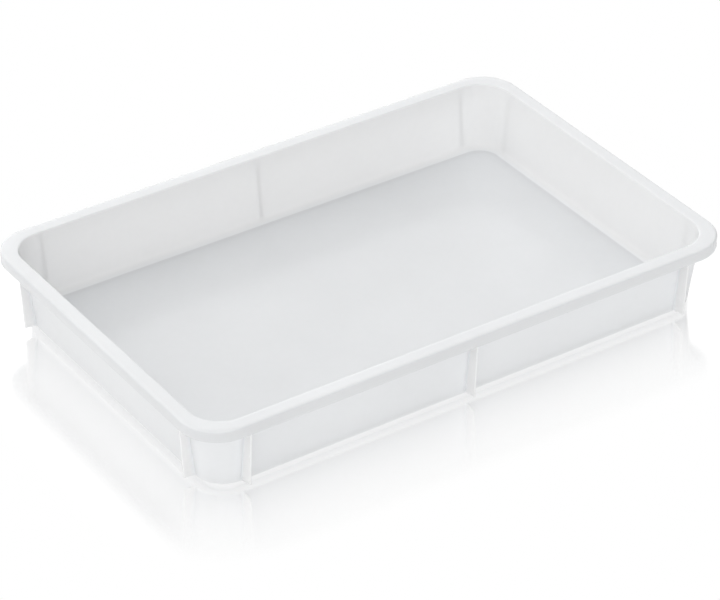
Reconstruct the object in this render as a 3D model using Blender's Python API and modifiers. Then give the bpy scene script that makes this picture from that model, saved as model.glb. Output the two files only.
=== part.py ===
"""Flat-bottomed developing tray, moulded in translucent white plastic.

A liquid-tight basin has drafted walls and a flat floor with a rounded edge. A low foot ring,
set in below the walls, holds it clear of the bench. A flat rim with a downturned skirt sits
on the walls. Ten upright ribs stiffen the walls from outside: one beside each end of every
rounded corner, and one in the middle of each long wall.

Metres, +Z up. The origin is on the bench, under the middle of the tray. The long side
runs along X.
"""

import math

import bmesh
import bpy
from mathutils import Matrix

# Overall size, over the rim and down to the bench
LENGTH = 0.602
WIDTH = 0.4005
HEIGHT = 0.082

# All insets are measured inwards from the rim's outer edge
WALL = 0.0025
GAP = 0.0003

RIM_WIDTH = 0.0147
RIM_CORNER_RADIUS = 0.0397
MOUTH_CORNER_RADIUS = 0.0326
SKIRT_DEPTH = 0.0120
RIM_EDGE_ROUND = 0.0012

WALL_INSET = RIM_WIDTH - WALL
WALL_DRAFT = math.radians(6.8)
WALL_TOP = HEIGHT - WALL - GAP

FOOT_HEIGHT = 0.0062
FOOT_CORNER_RADIUS = 0.0288
FOOT_RING_INSET = 0.008
FOOT_RING_THICKNESS = 0.003
FLOOR_TOP = 0.0095
FLOOR_THICKNESS = 0.0025
FLOOR_FILLET = 0.0081
BASIN_EDGE_ROUND = 0.0005

RIB_THICKNESS = 0.002
RIB_TOP = WALL_TOP
LONG_WALL_RIB_SETBACK = 0.0525
LONG_WALL_RIB_TOP_INSET = WALL + GAP
LONG_WALL_RIB_FOOT_INSET = 0.0066
LONG_WALL_RIB_FOOT_RISE = 0.003
SHORT_WALL_RIB_SETBACK = 0.0532
SHORT_WALL_RIB_TOP_INSET = 0.0056
SHORT_WALL_RIB_FOOT_INSET = 0.0093
SHORT_WALL_RIB_FOOT_RISE = 0.001

CORNER_STEPS = 10
FILLET_STEPS = 6
EDGE_STEPS = 2
SHARP_ANGLE = math.radians(40)

PLASTIC_COLOUR = (0.86, 0.87, 0.88, 1.0)
RIM_ROUGHNESS = 0.38
BASIN_ROUGHNESS = 0.30
RIB_ROUGHNESS = 0.42


def clear_scene():
    for obj in list(bpy.data.objects):
        bpy.data.objects.remove(obj, do_unlink=True)


def new_collection(name):
    collection = bpy.data.collections.new(name)
    bpy.context.scene.collection.children.link(collection)
    return collection


def plastic(name, roughness):
    material = bpy.data.materials.new(name)
    material.use_nodes = True
    shader = material.node_tree.nodes["Principled BSDF"]
    shader.inputs["Base Color"].default_value = PLASTIC_COLOUR
    shader.inputs["Roughness"].default_value = roughness
    shader.inputs["Metallic"].default_value = 0.0
    return material


def wall_outline(z):
    """Inset and corner radius of the wall's outer face at height z; corners tighten downwards."""
    inset = WALL_INSET + math.tan(WALL_DRAFT) * (HEIGHT - z)
    top_radius = MOUTH_CORNER_RADIUS + WALL
    depth = (HEIGHT - z) / (HEIGHT - FOOT_HEIGHT)
    return inset, top_radius + (FOOT_CORNER_RADIUS - top_radius) * depth


def inside(outline, distance):
    """The concentric outline at a distance inside a given one."""
    inset, radius = outline
    return inset + distance, radius - distance


def lowest_face(mesh):
    return min(mesh.faces, key=lambda face: face.calc_center_median().z)


def highest_face(mesh):
    return max(mesh.faces, key=lambda face: face.calc_center_median().z)


def reshape(verts, old, new):
    """Moves points of one rounded outline to the same stations of another outline."""
    old_inset, old_radius = old
    new_inset, new_radius = new
    for vert in verts:
        for axis, half in enumerate((LENGTH / 2, WIDTH / 2)):
            round_part = abs(vert.co[axis]) - (half - old_inset - old_radius)
            moved = half - new_inset - new_radius + round_part * new_radius / old_radius
            vert.co[axis] = math.copysign(moved, vert.co[axis])


def add_rounded_block(mesh, outline, bottom, top):
    """An upright block on a rounded outline, given by its inset and corner radius."""
    inset, radius = outline
    size = Matrix.Diagonal((LENGTH - 2 * inset, WIDTH - 2 * inset, top - bottom, 1.0))
    place = Matrix.Translation((0.0, 0.0, (bottom + top) / 2))
    bmesh.ops.create_cube(mesh, size=1.0, matrix=place @ size)
    uprights = [edge for edge in mesh.edges if edge.verts[0].co.xy == edge.verts[1].co.xy]
    bmesh.ops.bevel(
        mesh, geom=uprights, offset=radius, segments=CORNER_STEPS, profile=0.5, affect="EDGES"
    )


def push_face(mesh, face, inset, depth):
    """Insets a flat face, then sinks or raises what is left of it, and returns the moved face."""
    bmesh.ops.inset_region(mesh, faces=[face], thickness=inset, use_even_offset=True)
    moved = bmesh.ops.extrude_discrete_faces(mesh, faces=[face])["faces"][0]
    bmesh.ops.translate(mesh, verts=moved.verts, vec=(0.0, 0.0, depth))
    return moved


def add_bevel(obj, width):
    bevel = obj.modifiers.new("rounded_edges", "BEVEL")
    bevel.width = width
    bevel.segments = EDGE_STEPS
    bevel.limit_method = "ANGLE"
    bevel.angle_limit = SHARP_ANGLE


def finish_mesh(mesh, name, material, collection):
    data = bpy.data.meshes.new(name)
    mesh.to_mesh(data)
    mesh.free()
    data.shade_smooth()
    data.set_sharp_from_angle(angle=SHARP_ANGLE)
    data.materials.append(material)
    obj = bpy.data.objects.new(name, data)
    collection.objects.link(obj)
    return obj


def make_basin(collection):
    mesh = bmesh.new()
    top = wall_outline(WALL_TOP)
    add_rounded_block(mesh, top, FOOT_HEIGHT, WALL_TOP)
    reshape(lowest_face(mesh).verts, top, wall_outline(FOOT_HEIGHT))
    push_face(mesh, lowest_face(mesh), FOOT_RING_INSET, -FOOT_HEIGHT)
    push_face(mesh, lowest_face(mesh), FOOT_RING_THICKNESS, FLOOR_TOP - FLOOR_THICKNESS)

    floor = push_face(mesh, highest_face(mesh), WALL, FLOOR_TOP - WALL_TOP)
    reshape(floor.verts, inside(top, WALL), inside(wall_outline(FLOOR_TOP), WALL))
    bmesh.ops.bevel(
        mesh,
        geom=list(floor.edges),
        offset=FLOOR_FILLET,
        segments=FILLET_STEPS,
        profile=0.5,
        affect="EDGES",
    )
    basin = finish_mesh(mesh, "basin", plastic("basin_plastic", BASIN_ROUGHNESS), collection)
    add_bevel(basin, BASIN_EDGE_ROUND)


def make_rim(collection):
    """An open sheet over the rim's top and down its skirt, given its thickness underneath."""
    mesh = bmesh.new()
    outer = (0.0, RIM_CORNER_RADIUS)
    add_rounded_block(mesh, outer, HEIGHT - SKIRT_DEPTH, HEIGHT)
    mouth = highest_face(mesh)
    bmesh.ops.inset_region(mesh, faces=[mouth], thickness=RIM_WIDTH, use_even_offset=True)
    reshape(mouth.verts, inside(outer, RIM_WIDTH), (RIM_WIDTH, MOUTH_CORNER_RADIUS))
    bmesh.ops.delete(mesh, geom=[mouth, lowest_face(mesh)], context="FACES_ONLY")
    rim = finish_mesh(mesh, "rim", plastic("rim_plastic", RIM_ROUGHNESS), collection)
    solidify = rim.modifiers.new("thickness", "SOLIDIFY")
    solidify.thickness = WALL
    solidify.offset = -1.0
    solidify.use_even_offset = True
    add_bevel(rim, RIM_EDGE_ROUND)


def rib_outline(top_inset, foot_inset, foot_rise):
    """(outwards, up) corners of a rib's flat side; the rim's outer edge is at 0 outwards.

    The top outer corner is cut off to clear the fillet between the rim's underside and skirt.
    """
    wall_at_top = wall_outline(RIB_TOP)[0]
    wall_at_foot = wall_outline(FOOT_HEIGHT)[0]
    return [
        (GAP - wall_at_top, RIB_TOP),
        (GAP - wall_at_foot, FOOT_HEIGHT),
        (-foot_inset, FOOT_HEIGHT + foot_rise),
        (-top_inset, RIB_TOP - RIM_EDGE_ROUND),
        (-top_inset - RIM_EDGE_ROUND, RIB_TOP),
    ]


def make_rib_curve(name, outline, material):
    curve = bpy.data.curves.new(name, "CURVE")
    curve.dimensions = "2D"
    curve.fill_mode = "BOTH"
    curve.extrude = RIB_THICKNESS / 2
    spline = curve.splines.new("POLY")
    spline.points.add(len(outline) - 1)
    for point, (outwards, up) in zip(spline.points, outline):
        point.co = (outwards, up, 0.0, 1.0)
    spline.use_cyclic_u = True
    curve.materials.append(material)
    return curve


def place_rib(name, curve, x, y, heading, collection):
    """A rib stands on edge and faces away from its wall, with its origin below the rim's edge."""
    rib = bpy.data.objects.new(name, curve)
    rib.location = (x, y, 0.0)
    rib.rotation_euler = (math.pi / 2, 0.0, heading)
    collection.objects.link(rib)


def make_ribs(collection):
    material = plastic("rib_plastic", RIB_ROUGHNESS)
    long_outline = rib_outline(
        LONG_WALL_RIB_TOP_INSET, LONG_WALL_RIB_FOOT_INSET, LONG_WALL_RIB_FOOT_RISE
    )
    short_outline = rib_outline(
        SHORT_WALL_RIB_TOP_INSET, SHORT_WALL_RIB_FOOT_INSET, SHORT_WALL_RIB_FOOT_RISE
    )
    long_rib = make_rib_curve("long_wall_rib", long_outline, material)
    short_rib = make_rib_curve("short_wall_rib", short_outline, material)

    corner_x = LENGTH / 2 - LONG_WALL_RIB_SETBACK
    for side, sign in (("front", -1), ("back", 1)):
        for place, x in (("left", -corner_x), ("middle", 0.0), ("right", corner_x)):
            name = f"{side}_{place}_rib"
            place_rib(name, long_rib, x, sign * WIDTH / 2, sign * math.pi / 2, collection)

    corner_y = WIDTH / 2 - SHORT_WALL_RIB_SETBACK
    for side, sign, heading in (("left", -1, math.pi), ("right", 1, 0.0)):
        for place, y in (("front", -corner_y), ("back", corner_y)):
            name = f"{side}_{place}_rib"
            place_rib(name, short_rib, sign * LENGTH / 2, y, heading, collection)


def main():
    clear_scene()
    tray = new_collection("developing_tray")
    make_basin(tray)
    make_rim(tray)
    make_ribs(tray)


main()
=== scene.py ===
"""Looks for the developing tray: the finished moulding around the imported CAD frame.

The tray is one injection moulding in milky polypropylene. A fine shell stands for the
CAD basin and rim, and a fine rib with moulded root fillets stands for each CAD rib. The
shell's cross-section is swept round the tray's rounded rectangle.
"""

import math

import bmesh
import bpy
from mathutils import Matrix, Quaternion, Vector


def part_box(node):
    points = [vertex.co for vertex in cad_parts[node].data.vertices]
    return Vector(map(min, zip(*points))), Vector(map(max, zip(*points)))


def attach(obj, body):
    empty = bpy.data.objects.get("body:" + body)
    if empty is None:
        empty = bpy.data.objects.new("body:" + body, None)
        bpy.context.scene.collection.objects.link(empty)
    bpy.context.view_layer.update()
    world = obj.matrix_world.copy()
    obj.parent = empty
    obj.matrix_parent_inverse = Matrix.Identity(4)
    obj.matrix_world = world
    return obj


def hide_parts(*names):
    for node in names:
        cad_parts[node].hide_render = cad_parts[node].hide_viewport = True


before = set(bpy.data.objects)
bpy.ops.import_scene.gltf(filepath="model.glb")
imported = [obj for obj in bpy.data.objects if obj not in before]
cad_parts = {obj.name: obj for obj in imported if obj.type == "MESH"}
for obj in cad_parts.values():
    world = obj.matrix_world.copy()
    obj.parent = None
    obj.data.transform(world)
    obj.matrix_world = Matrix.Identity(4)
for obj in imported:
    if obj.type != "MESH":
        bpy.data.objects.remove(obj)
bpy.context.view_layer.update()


# ---------------------------------------------------------------- sizes of the tray

# Sizes that the frame's boxes give
RIM_LOW, RIM_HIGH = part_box("rim")
HALF_LENGTH = RIM_HIGH.x
HALF_WIDTH = RIM_HIGH.y
TOP = RIM_HIGH.z
SKIRT_FOOT = RIM_LOW.z

# Sizes of the moulding's cross-section, in metres, as the CAD part has them. All insets are
# measured inwards from the rim's outer edge.
WALL = 0.0025
RIM_WIDTH = 0.0147
RIM_CORNER_RADIUS = 0.0397
MOUTH_CORNER_RADIUS = 0.0326
WALL_INSET = RIM_WIDTH - WALL
WALL_DRAFT = math.radians(6.8)
FOOT_HEIGHT = 0.0062
FOOT_CORNER_RADIUS = 0.0288
FOOT_RING_INSET = 0.008
FOOT_RING_THICKNESS = 0.003
FLOOR_TOP = 0.0095
FLOOR_THICKNESS = WALL
FLOOR_FILLET_RADIUS = 0.0091

# Radii of the shell's edges and of its small fillets
RIM_INNER_ROUND = 0.0010
RIM_OUTER_ROUND = 0.0022
SKIRT_EDGE_ROUND = 0.0008
UNDER_RIM_FILLET = 0.0012
FOOT_ROUND = 0.0005
STEP_FILLET = 0.0012
RING_EDGE_ROUND = 0.0007
HOLLOW_FILLET = 0.0020

# The wide thin floor sags a little towards its middle
FLOOR_SAG = 0.00020

# A rib's thickness at its root and outer edge, its root fillet, how far it runs into the
# shell, and the rounding of its foot
RIB_ROOT = 0.0023
RIB_EDGE = 0.0017
RIB_FILLET = 0.0007
RIB_EMBED = 0.0002
RIB_FOOT_ROUND = 0.0005
# Where a rib's outer edge is, as insets at its top and foot, and how much its foot rises outwards
LONG_WALL_RIB = {"top": 0.0028, "foot": 0.0066, "rise": 0.003}
SHORT_WALL_RIB = {"top": 0.0056, "foot": 0.0093, "rise": 0.001}
# Heights of a rib's level cuts, as shares of its height
RIB_LEVELS = (0.0, 0.007, 0.1, 0.25, 0.4, 0.55, 0.7, 0.85, 1.0)

# Mesh density
CORNER_STEPS = 24
STRAIGHT_CELL = 0.020
WALL_CELL = 0.007
RIM_CELL = 0.003
ARC_STEP = math.radians(11.25)
FLOOR_BORDER = 0.006
SHARP_ANGLE = math.radians(50)


# ---------------------------------------------------------------- looks of the plastic

SHELL_COLOUR = (0.90, 0.91, 0.92)
RIB_COLOUR = (0.95, 0.97, 0.99)
PLASTIC_IOR = 1.49

# Patterns in the plastic: noise, with its scale per metre. The wiping marks' noise is
# stretched, and its scales are those of the stretching.
CLOUDS = {"scale": 9.0, "detail": 3.0, "roughness": 0.55}
MOTTLE = {"scale": 160.0, "detail": 2.0, "roughness": 0.5}
DRIFT = {"scale": 22.0, "detail": 4.0, "roughness": 0.6}
GRAIN = {"scale": 1400.0, "detail": 3.0, "roughness": 0.6}
WAVES = {"scale": 28.0, "detail": 1.0, "roughness": 0.5}
WIPING_MARKS = {"scale": 1.0, "detail": 2.0, "roughness": 0.7}
WIPING_MARK_STRETCH = {"Rotation": (0.0, 0.0, 0.5), "Scale": (9.0, 520.0, 60.0)}

# The noise values that a pattern uses, and what it makes of them: a factor for the colour,
# a change of roughness, or a relief whose depth is in metres
NOISE_RANGE = (0.3, 0.7)
WIPING_MARK_RANGE = (0.66, 0.82)
CLOUD_TONES = (0.985, 1.012)
MOTTLE_TONES = (-0.004, 0.004)
ROUGHNESS_DRIFT = 0.03
WIPING_MARK_ROUGHNESS = 0.06
GRAIN_RELIEF = {"Strength": 0.10, "Distance": 0.0003}
WAVE_RELIEF = {"Strength": 0.30, "Distance": 0.0006}

# Painted light and shade: how much lighter or darker each region of the shell is painted than the
# plastic's colour
# Painted shade on the floor, rim, skirt and downward faces; painted light on the walls inside
FLOOR_PAINTED_SHADE = -0.15
RIM_PAINTED_SHADE = -0.08
SKIRT_PAINTED_SHADE = -0.14
INSIDE_WALL_PAINTED_LIGHT = 0.07
OUTSIDE_WALL_PAINTED_SHADE = -0.045

# What tells the painted regions apart: the upward part of the surface's normal, the height,
# and the distance outside the rim's outer edge. Each pair is where a region starts and where it is full.
LEVEL_NORMAL = (0.35, 0.85)
FACING_IN_NORMAL = (0.03, 0.09)
FACING_OUT_NORMAL = (-0.03, -0.09)
RIM_HEIGHTS = (TOP - 0.004, TOP - 0.002)
FLOOR_HEIGHTS = (FLOOR_TOP + 0.0012, FLOOR_TOP + 0.0004)
SKIRT_DISTANCES = (-WALL - 0.001, -WALL)
# Above every height in the scene
ANY_HEIGHT = 1000.0

# The distances from the wall at which a rib starts to be milky and is fully milky
RIB_MILK_DISTANCES = (0.0006, 0.0030)


# ---------------------------------------------------------------- studio and camera

STAGE_SIZE = 12.0
STAGE_HEIGHT = -0.0001
STAGE_GLOW = 1.0
STAGE_ROUGHNESS = 0.15
# The stage's mirror: its strength at the walls' foot, and how far and how fast it fades
MIRROR_NEAR = 0.72
MIRROR_REACH = 0.11
MIRROR_FADE = 1.4
# The mirror is weaker up to a few millimetres outside the walls' foot, where it would show
# the tray's dark underside
MIRROR_UNDER = 0.62
MIRROR_UNDER_END = 0.005
MIRROR_FULL_START = 0.011

WHITE = (1.0, 1.0, 1.0, 1.0)
SKY_BASE = 0.24
# Soft areas of the studio sky: (azimuth, elevation, half width, strength). Azimuths are in
# degrees from the front, positive to the right.
SKY_AREAS = {
    "front": (-15, 30, 45, 0.80),
    "front_left": (-60, 20, 50, 0.12),
    "front_left_low": (-50, 12, 25, 0.62),
    "left": (-105, 35, 45, 0.64),
    "back_left": (-150, 40, 45, 0.54),
    "behind": (146, 38, 32, 1.05),
    "behind_low": (165, 12, 30, 1.45),
    "right": (60, 30, 50, 0.10),
    "top": (0, 90, 50, 0.60),
}
# Small soft lamps: (place, aim, diameter, watts)
LAMPS = {
    "back_corner_lamp": ((-0.30, -0.50, 0.80), (0.26, 0.17, 0.04), 0.25, 0.36),
    "front_corner_lamp": ((-0.80, -0.80, 0.35), (-0.25, -0.18, 0.03), 0.50, 0.04),
}

# The camera's place round its target, in degrees and metres
CAMERA_AZIMUTH = -33.77
CAMERA_ELEVATION = 33.41
CAMERA_ROLL = -0.18
CAMERA_DISTANCE = 3.338
CAMERA_LENS = 170.92
CAMERA_TARGET = Vector((0.0, 0.0, 0.0123))


# ---------------------------------------------------------------- the shell's cross-section

# A point of the cross-section is (inset, z), and (inset, corner radius, z) once the radius
# that it has at the tray's corners is known.


def lean(z):
    """How far the drafted wall has moved in at height z."""
    return math.tan(WALL_DRAFT) * (TOP - z)


def wall_radius(z):
    """Corner radius of the wall's outer face, which tightens from the rim down to the foot."""
    top_radius = MOUTH_CORNER_RADIUS + WALL
    return top_radius + (FOOT_CORNER_RADIUS - top_radius) * (TOP - z) / (TOP - FOOT_HEIGHT)


def arc_points(centre, radius, start, end):
    """Points along an arc; angles in degrees, from the first axis towards the second.

    In the cross-section 0 is inwards, 90 is up, 180 is outwards and 270 or -90 is down.
    """
    sweep = math.radians(end - start)
    steps = max(2, math.ceil(abs(sweep) / ARC_STEP))
    points = []
    for i in range(steps + 1):
        angle = math.radians(start) + sweep * i / steps
        points.append((centre[0] + radius * math.cos(angle), centre[1] + radius * math.sin(angle)))
    return points


def line_points(start, end, cell):
    """Points between two ends, both left out, about one cell apart."""
    steps = max(1, round(math.dist(start, end) / cell))
    return [
        tuple(a + (b - a) * i / steps for a, b in zip(start, end)) for i in range(1, steps)
    ]


def with_wall_corners(points, wall_z):
    """Gives points corners that are concentric with the wall's outer face at height wall_z."""
    centre_inset = wall_radius(wall_z) + WALL_INSET + lean(wall_z)
    return [(inset, centre_inset - inset, z) for inset, z in points]


def with_rim_corners(points):
    """Gives points the rim's corners, which change evenly from its outer edge to the mouth."""
    change = MOUTH_CORNER_RADIUS - RIM_CORNER_RADIUS
    return [(inset, RIM_CORNER_RADIUS + change * (inset / RIM_WIDTH), z) for inset, z in points]


def wall_face(inset_at_rim, start_z, end_z):
    """A drafted face of the wall between two heights, both left out."""
    heights = [z for _, z in line_points((0, start_z), (0, end_z), WALL_CELL)]
    return [(inset_at_rim + lean(z), wall_radius(z) + WALL_INSET - inset_at_rim, z) for z in heights]


def floor_fillet_and_inner_wall():
    """Up from the flat floor to the rim."""
    wall_z = FLOOR_TOP + FLOOR_FILLET_RADIUS * (1 - math.sin(WALL_DRAFT))
    centre_inset = RIM_WIDTH + lean(wall_z) + FLOOR_FILLET_RADIUS * math.cos(WALL_DRAFT)
    centre = (centre_inset, FLOOR_TOP + FLOOR_FILLET_RADIUS)
    fillet = arc_points(centre, FLOOR_FILLET_RADIUS, 270, 180 + math.degrees(WALL_DRAFT))
    inner_wall = wall_face(RIM_WIDTH, wall_z, TOP - 2 * RIM_INNER_ROUND)
    return with_wall_corners(fillet, wall_z) + inner_wall


def rim_top():
    """Over the rim's inner edge, its flat top and its outer edge."""
    inner = arc_points((RIM_WIDTH - RIM_INNER_ROUND, TOP - RIM_INNER_ROUND), RIM_INNER_ROUND, 0, 90)
    outer = arc_points((RIM_OUTER_ROUND, TOP - RIM_OUTER_ROUND), RIM_OUTER_ROUND, 90, 180)
    return with_rim_corners(inner + line_points(inner[-1], outer[0], RIM_CELL) + outer)


def skirt():
    """Down the skirt's outer face, round its lower edge and up inside it."""
    edge_z = SKIRT_FOOT + SKIRT_EDGE_ROUND
    fillet_z = TOP - WALL - UNDER_RIM_FILLET
    points = line_points((0, TOP - RIM_OUTER_ROUND), (0, edge_z), RIM_CELL)
    points += arc_points((SKIRT_EDGE_ROUND, edge_z), SKIRT_EDGE_ROUND, 180, 270)
    points += arc_points((WALL - SKIRT_EDGE_ROUND, edge_z), SKIRT_EDGE_ROUND, -90, 0)
    points += line_points((WALL, edge_z), (WALL, fillet_z), RIM_CELL)
    points += arc_points((WALL + UNDER_RIM_FILLET, fillet_z), UNDER_RIM_FILLET, 180, 90)
    return with_rim_corners(points)


def rim_underside_and_outer_wall():
    """Back under the rim and down the wall's outer face."""
    under = TOP - WALL
    fillet_z = under - UNDER_RIM_FILLET
    fillet_inset = WALL_INSET + lean(under) - UNDER_RIM_FILLET
    points = line_points((WALL + UNDER_RIM_FILLET, under), (fillet_inset, under), RIM_CELL)
    points += arc_points((fillet_inset, fillet_z), UNDER_RIM_FILLET, 90, 0)
    outer_wall = wall_face(WALL_INSET, fillet_z, FOOT_HEIGHT + FOOT_ROUND)
    return with_rim_corners(points) + outer_wall


def foot_and_ring():
    """Round the wall's foot, in to the foot ring, down it and up inside it."""
    foot = WALL_INSET + lean(FOOT_HEIGHT)
    ring = foot + FOOT_RING_INSET
    hollow = ring + FOOT_RING_THICKNESS
    ceiling = FLOOR_TOP - FLOOR_THICKNESS
    points = arc_points((foot + FOOT_ROUND, FOOT_HEIGHT + FOOT_ROUND), FOOT_ROUND, 180, 270)
    points.append(((foot + ring) / 2, FOOT_HEIGHT))
    points += arc_points((ring - STEP_FILLET, FOOT_HEIGHT - STEP_FILLET), STEP_FILLET, 90, 0)
    points += arc_points((ring + RING_EDGE_ROUND, RING_EDGE_ROUND), RING_EDGE_ROUND, 180, 270)
    points += arc_points((hollow - RING_EDGE_ROUND, RING_EDGE_ROUND), RING_EDGE_ROUND, -90, 0)
    points.append((hollow, ceiling / 2))
    points += arc_points((hollow + HOLLOW_FILLET, ceiling - HOLLOW_FILLET), HOLLOW_FILLET, 180, 90)
    return with_wall_corners(points, FOOT_HEIGHT)


# ---------------------------------------------------------------- mesh helpers


def ring_points(inset, radius, z):
    """A rounded rectangle, inset from the rim's outer edge."""
    centre_x = HALF_LENGTH - inset - radius
    centre_y = HALF_WIDTH - inset - radius
    cells_x = round(2 * (HALF_LENGTH - RIM_CORNER_RADIUS) / STRAIGHT_CELL)
    cells_y = round(2 * (HALF_WIDTH - RIM_CORNER_RADIUS) / STRAIGHT_CELL)
    points = []
    for quarter, (sx, sy) in enumerate(((1, 1), (-1, 1), (-1, -1), (1, -1))):
        start = math.pi / 2 * quarter
        for step in range(CORNER_STEPS + 1):
            angle = start + math.pi / 2 * step / CORNER_STEPS
            x = sx * centre_x + radius * math.cos(angle)
            y = sy * centre_y + radius * math.sin(angle)
            points.append(Vector((x, y, z)))
        along_x = quarter % 2 == 0
        cells = cells_x if along_x else cells_y
        reach = Vector((-2 * sx * centre_x, 0, 0)) if along_x else Vector((0, -2 * sy * centre_y, 0))
        corner = points[-1]
        points += [corner + reach * (i / cells) for i in range(1, cells)]
    return points


def join_rings(mesh, rings):
    """Joins each ring of points to the next one with four-sided faces."""
    count = len(rings[0])
    for first, second in zip(rings, rings[1:]):
        for i in range(count):
            j = (i + 1) % count
            mesh.faces.new((first[i], first[j], second[j], second[i]))


def fill_flat(mesh, ring, z, sag):
    """Fills a ring with a grid of even cells, joined to it by a border of triangles.

    The grid sags towards its middle, as a wide thin floor does when it cools.
    """
    reach_x = max(vert.co.x for vert in ring) - FLOOR_BORDER
    reach_y = max(vert.co.y for vert in ring) - FLOOR_BORDER
    cells_x = round(2 * reach_x / STRAIGHT_CELL)
    cells_y = round(2 * reach_y / STRAIGHT_CELL)
    rows = []
    for j in range(cells_y + 1):
        v = 2 * j / cells_y - 1
        row = []
        for i in range(cells_x + 1):
            u = 2 * i / cells_x - 1
            drop = sag * math.cos(u * math.pi / 2) ** 2 * math.cos(v * math.pi / 2) ** 2
            row.append(mesh.verts.new((u * reach_x, v * reach_y, z - drop)))
        rows.append(row)
    for low, high in zip(rows, rows[1:]):
        for i in range(cells_x):
            mesh.faces.new((low[i], low[i + 1], high[i + 1], high[i]))
    right = [row[-1] for row in rows[1:]]
    left = [row[0] for row in rows[-2:0:-1]]
    border = rows[0] + right + rows[-1][-2::-1] + left
    edges = [
        mesh.edges.get(ends) for loop in (ring, border) for ends in zip(loop, loop[1:] + loop[:1])
    ]
    bmesh.ops.triangle_fill(mesh, edges=edges, use_beauty=True, use_dissolve=False)


def finish_mesh(mesh, name, material):
    bmesh.ops.recalc_face_normals(mesh, faces=mesh.faces)
    data = bpy.data.meshes.new(name)
    mesh.to_mesh(data)
    mesh.free()
    data.shade_smooth()
    data.set_sharp_from_angle(angle=SHARP_ANGLE)
    data.materials.append(material)
    piece = bpy.data.objects.new(name, data)
    bpy.context.scene.collection.objects.link(piece)
    return piece


# ---------------------------------------------------------------- materials


class Nodes:
    """Adds nodes to one tree; an input's value is either a constant or another node's socket."""

    def __init__(self, tree):
        self.tree = tree

    def add(self, kind, inputs=None, **settings):
        node = self.tree.nodes.new(kind)
        for name, value in settings.items():
            setattr(node, name, value)
        for key, value in (inputs or {}).items():
            if isinstance(value, bpy.types.NodeSocket):
                self.tree.links.new(value, node.inputs[key])
            else:
                node.inputs[key].default_value = value
        return node

    def math(self, operation, *values):
        inputs = dict(enumerate(values))
        return self.add("ShaderNodeMath", inputs, operation=operation).outputs[0]

    def vector_math(self, operation, *values):
        inputs = dict(enumerate(values))
        return self.add("ShaderNodeVectorMath", inputs, operation=operation)

    def height(self, vector):
        """The upward part of a place or of a normal."""
        return self.add("ShaderNodeSeparateXYZ", {0: vector}).outputs["Z"]

    def remap(self, value, low, high, to_low, to_high, smooth=False):
        inputs = {"Value": value, "From Min": low, "From Max": high, "To Min": to_low, "To Max": to_high}
        kind = "SMOOTHSTEP" if smooth else "LINEAR"
        return self.add("ShaderNodeMapRange", inputs, interpolation_type=kind).outputs["Result"]

    def fade_in(self, value, start, full):
        """Goes smoothly from 0 at start to 1 at full, whichever of the two is higher."""
        if start < full:
            return self.remap(value, start, full, 0.0, 1.0, smooth=True)
        return self.remap(value, full, start, 1.0, 0.0, smooth=True)

    def noise(self, vector, scale, detail, roughness):
        inputs = {"Vector": vector, "Scale": scale, "Detail": detail, "Roughness": roughness}
        return self.add("ShaderNodeTexNoise", inputs).outputs["Fac"]


def distance_outside(nodes, place, corner_radius, inset):
    """Level distance outside a rounded rectangle that is inset from the rim's outer edge.

    It is the distance from the corners' centres less their radius; heights don't count.
    """
    centre_x = HALF_LENGTH - inset - corner_radius
    centre_y = HALF_WIDTH - inset - corner_radius
    out = nodes.vector_math("ABSOLUTE", place).outputs["Vector"]
    out = nodes.vector_math("SUBTRACT", out, (centre_x, centre_y, ANY_HEIGHT)).outputs["Vector"]
    out = nodes.vector_math("MAXIMUM", out, (0.0, 0.0, 0.0)).outputs["Vector"]
    length = nodes.vector_math("LENGTH", out).outputs["Value"]
    return nodes.math("SUBTRACT", length, corner_radius)


def shell_painted_light_and_shade(nodes, place):
    """A factor for the shell's colour.

    Painted light and shade: the floor, the rim, its skirt and the downward faces such as the walls'
    outer face are painted greyer, and the walls inside are painted lighter.
    """
    # Which way the surface faces
    upward = nodes.height(nodes.add("ShaderNodeNewGeometry").outputs["Normal"])
    level = nodes.fade_in(upward, *LEVEL_NORMAL)
    upright = nodes.math("SUBTRACT", 1.0, level)
    facing_in = nodes.fade_in(upward, *FACING_IN_NORMAL)
    facing_out = nodes.fade_in(upward, *FACING_OUT_NORMAL)

    # Where it is
    height = nodes.height(place)
    high = nodes.fade_in(height, *RIM_HEIGHTS)
    low = nodes.fade_in(height, *FLOOR_HEIGHTS)
    at_edge = nodes.fade_in(distance_outside(nodes, place, RIM_CORNER_RADIUS, 0.0), *SKIRT_DISTANCES)
    off_edge = nodes.math("SUBTRACT", 1.0, at_edge)

    inner_wall = nodes.math("MULTIPLY", nodes.math("MULTIPLY", facing_in, upright), off_edge)
    # Painted shade on the floor, rim, skirt and downward faces, painted light on the walls inside
    regions = (
        (nodes.math("MULTIPLY", low, level), FLOOR_PAINTED_SHADE),
        (nodes.math("MULTIPLY", high, level), RIM_PAINTED_SHADE),
        (nodes.math("MULTIPLY", at_edge, upright), SKIRT_PAINTED_SHADE),
        (inner_wall, INSIDE_WALL_PAINTED_LIGHT),
        (facing_out, OUTSIDE_WALL_PAINTED_SHADE),
    )
    factor = 1.0
    for region, tone in regions:
        factor = nodes.math("MULTIPLY_ADD", region, tone, factor)
    return factor


def rib_milkiness(nodes, place):
    """A rib is milky where it stands free of the wall and opaque where it is rooted in it."""
    height = nodes.height(place)
    wall_inset = nodes.remap(height, 0.0, TOP, WALL_INSET + lean(0.0), WALL_INSET)
    edge = distance_outside(nodes, place, RIM_CORNER_RADIUS, 0.0)
    clear_of_wall = nodes.math("ADD", edge, wall_inset)
    return nodes.fade_in(clear_of_wall, *RIB_MILK_DISTANCES)


def cloudy_tone(nodes, place):
    """A factor for the colour: flow clouds some centimetres wide, and a weak fine mottle."""
    clouds = nodes.remap(nodes.noise(place, **CLOUDS), *NOISE_RANGE, *CLOUD_TONES)
    mottle = nodes.remap(nodes.noise(place, **MOTTLE), *NOISE_RANGE, *MOTTLE_TONES)
    return nodes.math("ADD", clouds, mottle)


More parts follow.
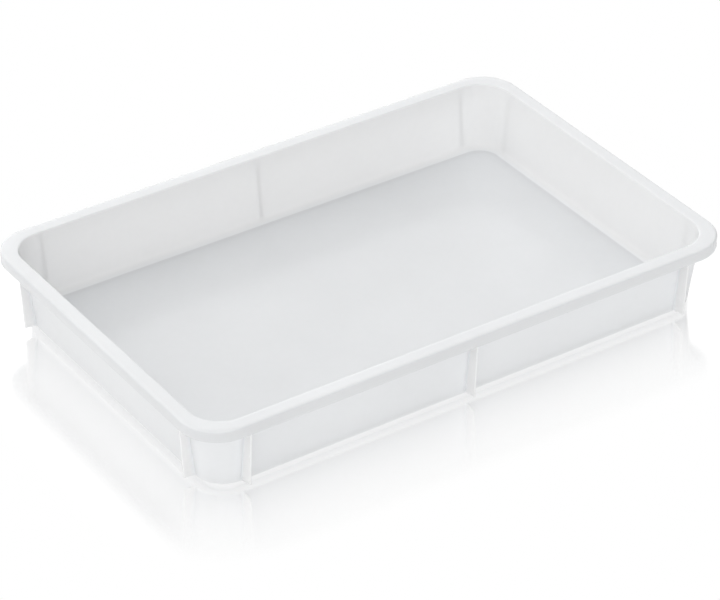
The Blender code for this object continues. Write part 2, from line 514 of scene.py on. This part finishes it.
def uneven_roughness(nodes, place, roughness):
    """Roughness that drifts with the flow, with a few wiping marks."""
    lowest, highest = roughness - ROUGHNESS_DRIFT, roughness + ROUGHNESS_DRIFT
    drift = nodes.remap(nodes.noise(place, **DRIFT), *NOISE_RANGE, lowest, highest)
    stretched = nodes.add("ShaderNodeMapping", {"Vector": place, **WIPING_MARK_STRETCH})
    noise = nodes.noise(stretched.outputs["Vector"], **WIPING_MARKS)
    marks = nodes.remap(noise, *WIPING_MARK_RANGE, 0.0, WIPING_MARK_ROUGHNESS)
    return nodes.math("ADD", drift, marks)


def moulded_relief(nodes, place):
    """A normal for fine grain over a very shallow waviness."""
    grain = {"Height": nodes.noise(place, **GRAIN), **GRAIN_RELIEF}
    grain_normal = nodes.add("ShaderNodeBump", grain).outputs["Normal"]
    waves = {"Height": nodes.noise(place, **WAVES), **WAVE_RELIEF, "Normal": grain_normal}
    return nodes.add("ShaderNodeBump", waves).outputs["Normal"]


def milky_plastic(name, colour, roughness, milk_depth, seed, painted_light_and_shade=None, milkiness=None):
    """Natural polypropylene: milky, faintly cloudy, with a fine moulded grain and light wear.

    The patterns are mapped in metres, so they have the same size on every piece. painted_light_and_shade
    adds nodes for a factor of the colour that paints light and shade into it, and milkiness adds nodes
    for the subsurface weight.
    """
    material = bpy.data.materials.new(name)
    material.use_nodes = True
    tree = material.node_tree
    shader = tree.nodes["Principled BSDF"]
    nodes = Nodes(tree)
    place = nodes.add("ShaderNodeTexCoord").outputs["Object"]
    shift = (seed, seed * 0.7, seed * 1.3)
    shifted = nodes.vector_math("ADD", place, shift).outputs["Vector"]

    tone = cloudy_tone(nodes, shifted)
    # Painted light and shade: the colour is made lighter or darker by region, as light falls
    if painted_light_and_shade:
        tone = nodes.math("MULTIPLY", tone, painted_light_and_shade(nodes, place))
    shade = nodes.add("ShaderNodeVectorMath", {0: colour, "Scale": tone}, operation="SCALE")
    tree.links.new(shade.outputs["Vector"], shader.inputs["Base Color"])
    tree.links.new(uneven_roughness(nodes, shifted, roughness), shader.inputs["Roughness"])
    tree.links.new(moulded_relief(nodes, shifted), shader.inputs["Normal"])

    shader.inputs["IOR"].default_value = PLASTIC_IOR
    shader.inputs["Subsurface Weight"].default_value = 1.0
    if milkiness:
        tree.links.new(milkiness(nodes, place), shader.inputs["Subsurface Weight"])
    shader.inputs["Subsurface Radius"].default_value = (1.0, 1.0, 1.0)
    shader.inputs["Subsurface Scale"].default_value = milk_depth
    return material


# ---------------------------------------------------------------- pieces


def build_shell(material):
    """Sweeps the cross-section round the tray and closes it with the floor's two faces."""
    section = floor_fillet_and_inner_wall() + rim_top() + skirt()
    section += rim_underside_and_outer_wall() + foot_and_ring()
    mesh = bmesh.new()
    rings = [[mesh.verts.new(point) for point in ring_points(*place)] for place in section]
    join_rings(mesh, rings)
    fill_flat(mesh, rings[0], FLOOR_TOP, FLOOR_SAG)
    fill_flat(mesh, rings[-1], FLOOR_TOP - FLOOR_THICKNESS, FLOOR_SAG)
    shell = finish_mesh(mesh, "moulded_shell", material)
    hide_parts("basin", "rim")
    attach(shell, "root")


def rib_outline(root, tip, at_foot):
    """A level cut through a rib, as (along, inset): root fillets, sides and rounded outer edge."""
    trim = RIB_FOOT_ROUND if at_foot else 0.0
    root_half = RIB_ROOT / 2 - trim
    edge_half = RIB_EDGE / 2 - trim
    outer = tip + trim + edge_half
    half = [(root_half + RIB_FILLET, root + RIB_EMBED)]
    half += arc_points((root_half + RIB_FILLET, root - RIB_FILLET), RIB_FILLET, 90, 180)
    half.append(((root_half + edge_half) / 2, (root - RIB_FILLET + outer) / 2))
    half += arc_points((0, outer), edge_half, 0, -90)
    return half + [(-along, inset) for along, inset in reversed(half[:-1])]


def point_on_side(side, middle, along, inset, z):
    """A place at one of the tray's sides: along it from a rib's middle, and at an inset."""
    sign = -1 if side in ("front", "left") else 1
    if side in ("front", "back"):
        return (middle.x + along, sign * (HALF_WIDTH - inset), z)
    return (sign * (HALF_LENGTH - inset), middle.y + along, z)


def build_rib(name, shape, material):
    """Lofts level cuts from the rib's foot up to the rim's underside."""
    cad_low, cad_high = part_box(name)
    middle = (cad_low + cad_high) / 2
    side = name.split("_")[0]
    height = TOP - WALL + RIB_EMBED - FOOT_HEIGHT
    mesh = bmesh.new()
    rings = []
    for level in RIB_LEVELS:
        z = FOOT_HEIGHT + height * level
        root = WALL_INSET + lean(z)
        tip = shape["foot"] + (shape["top"] - shape["foot"]) * level
        ring = []
        for along, inset in rib_outline(root, tip, at_foot=level == 0.0):
            outward = max(0.0, min(1.0, (root - inset) / (root - tip)))
            rise = shape["rise"] * outward * (1.0 - level)
            ring.append(mesh.verts.new(point_on_side(side, middle, along, inset, z + rise)))
        rings.append(ring)
    join_rings(mesh, rings)
    mesh.faces.new(rings[0])
    mesh.faces.new(rings[-1])
    rib = finish_mesh(mesh, f"fine_{name}", material)
    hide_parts(name)
    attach(rib, "root")


def build_ribs(material):
    for node in list(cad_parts):
        if node.endswith("_rib"):
            on_long_wall = node.startswith(("front", "back"))
            build_rib(node, LONG_WALL_RIB if on_long_wall else SHORT_WALL_RIB, material)


# ---------------------------------------------------------------- stage, light and camera


def direction(azimuth, elevation):
    """A unit vector from the tray; azimuth in degrees from the front, positive to the right."""
    azimuth, elevation = math.radians(azimuth), math.radians(elevation)
    level = math.cos(elevation)
    return Vector((math.sin(azimuth) * level, -math.cos(azimuth) * level, math.sin(elevation)))


def build_stage():
    """A white glossy floor; its mirror image of the tray fades with distance from the tray."""
    bpy.ops.mesh.primitive_plane_add(size=STAGE_SIZE, location=(0.0, 0.0, STAGE_HEIGHT))
    floor = bpy.context.object
    floor.name = "studio_floor"
    material = bpy.data.materials.new("studio_floor")
    material.use_nodes = True
    tree = material.node_tree
    tree.nodes.remove(tree.nodes["Principled BSDF"])
    nodes = Nodes(tree)
    place = nodes.add("ShaderNodeTexCoord").outputs["Object"]
    outside = distance_outside(nodes, place, FOOT_CORNER_RADIUS, WALL_INSET + lean(FOOT_HEIGHT))
    nearness = nodes.math("POWER", nodes.remap(outside, 0.0, MIRROR_REACH, 1.0, 0.0), MIRROR_FADE)
    fading = nodes.math("MULTIPLY", nearness, MIRROR_NEAR)
    under_foot = nodes.remap(
        outside, MIRROR_UNDER_END, MIRROR_FULL_START, MIRROR_UNDER, 1.0, smooth=True
    )
    mirror = nodes.math("MULTIPLY", fading, under_foot)
    glow = nodes.add("ShaderNodeEmission", {"Color": WHITE, "Strength": STAGE_GLOW})
    gloss = nodes.add("ShaderNodeBsdfGlossy", {"Color": WHITE, "Roughness": STAGE_ROUGHNESS})
    mix = nodes.add("ShaderNodeMixShader", {0: mirror, 1: glow.outputs[0], 2: gloss.outputs[0]})
    tree.links.new(mix.outputs[0], tree.nodes["Material Output"].inputs["Surface"])
    floor.data.materials.append(material)


def build_sky():
    """A soft sky, with an even base and wide bright areas."""
    world = bpy.data.worlds.new("studio")
    world.use_nodes = True
    nodes = Nodes(world.node_tree)
    look = nodes.add("ShaderNodeTexCoord").outputs["Generated"]
    total = SKY_BASE
    for name, (azimuth, elevation, width, strength) in SKY_AREAS.items():
        towards = nodes.vector_math("DOT_PRODUCT", look, direction(azimuth, elevation))
        towards.label = name
        area = nodes.fade_in(towards.outputs["Value"], math.cos(math.radians(width)), 1.0)
        total = nodes.math("ADD", total, nodes.math("MULTIPLY", area, strength))
    background = world.node_tree.nodes["Background"]
    background.inputs["Color"].default_value = WHITE
    world.node_tree.links.new(total, background.inputs["Strength"])
    bpy.context.scene.world = world


def build_lamps():
    for name, (place, aim, diameter, watts) in LAMPS.items():
        data = bpy.data.lights.new(name, "AREA")
        data.shape = "DISK"
        data.size = diameter
        data.energy = watts
        lamp = bpy.data.objects.new(name, data)
        lamp.location = place
        lamp.rotation_euler = (Vector(aim) - Vector(place)).to_track_quat("-Z", "Y").to_euler()
        bpy.context.scene.collection.objects.link(lamp)


def build_camera():
    away = direction(CAMERA_AZIMUTH, CAMERA_ELEVATION)
    data = bpy.data.cameras.new("camera")
    data.lens = CAMERA_LENS
    camera = bpy.data.objects.new("camera", data)
    camera.location = CAMERA_TARGET + away * CAMERA_DISTANCE
    camera.rotation_mode = "QUATERNION"
    roll = Quaternion((0.0, 0.0, 1.0), math.radians(CAMERA_ROLL))
    camera.rotation_quaternion = (-away).to_track_quat("-Z", "Y") @ roll
    bpy.context.scene.collection.objects.link(camera)
    bpy.context.scene.camera = camera


# The shell's colour carries painted shade on its floor, rim, skirt and downward faces, and painted light
# on its walls inside
shell_plastic = milky_plastic(
    "milky_plastic_shell",
    SHELL_COLOUR,
    roughness=0.17,
    milk_depth=0.0025,
    seed=0.0,
    painted_light_and_shade=shell_painted_light_and_shade,
)
rib_plastic = milky_plastic(
    "milky_plastic_ribs",
    RIB_COLOUR,
    roughness=0.24,
    milk_depth=0.0014,
    seed=3.7,
    milkiness=rib_milkiness,
)
build_shell(shell_plastic)
build_ribs(rib_plastic)
build_stage()
build_sky()
build_lamps()
build_camera()
bpy.context.scene.view_settings.view_transform = "Standard"
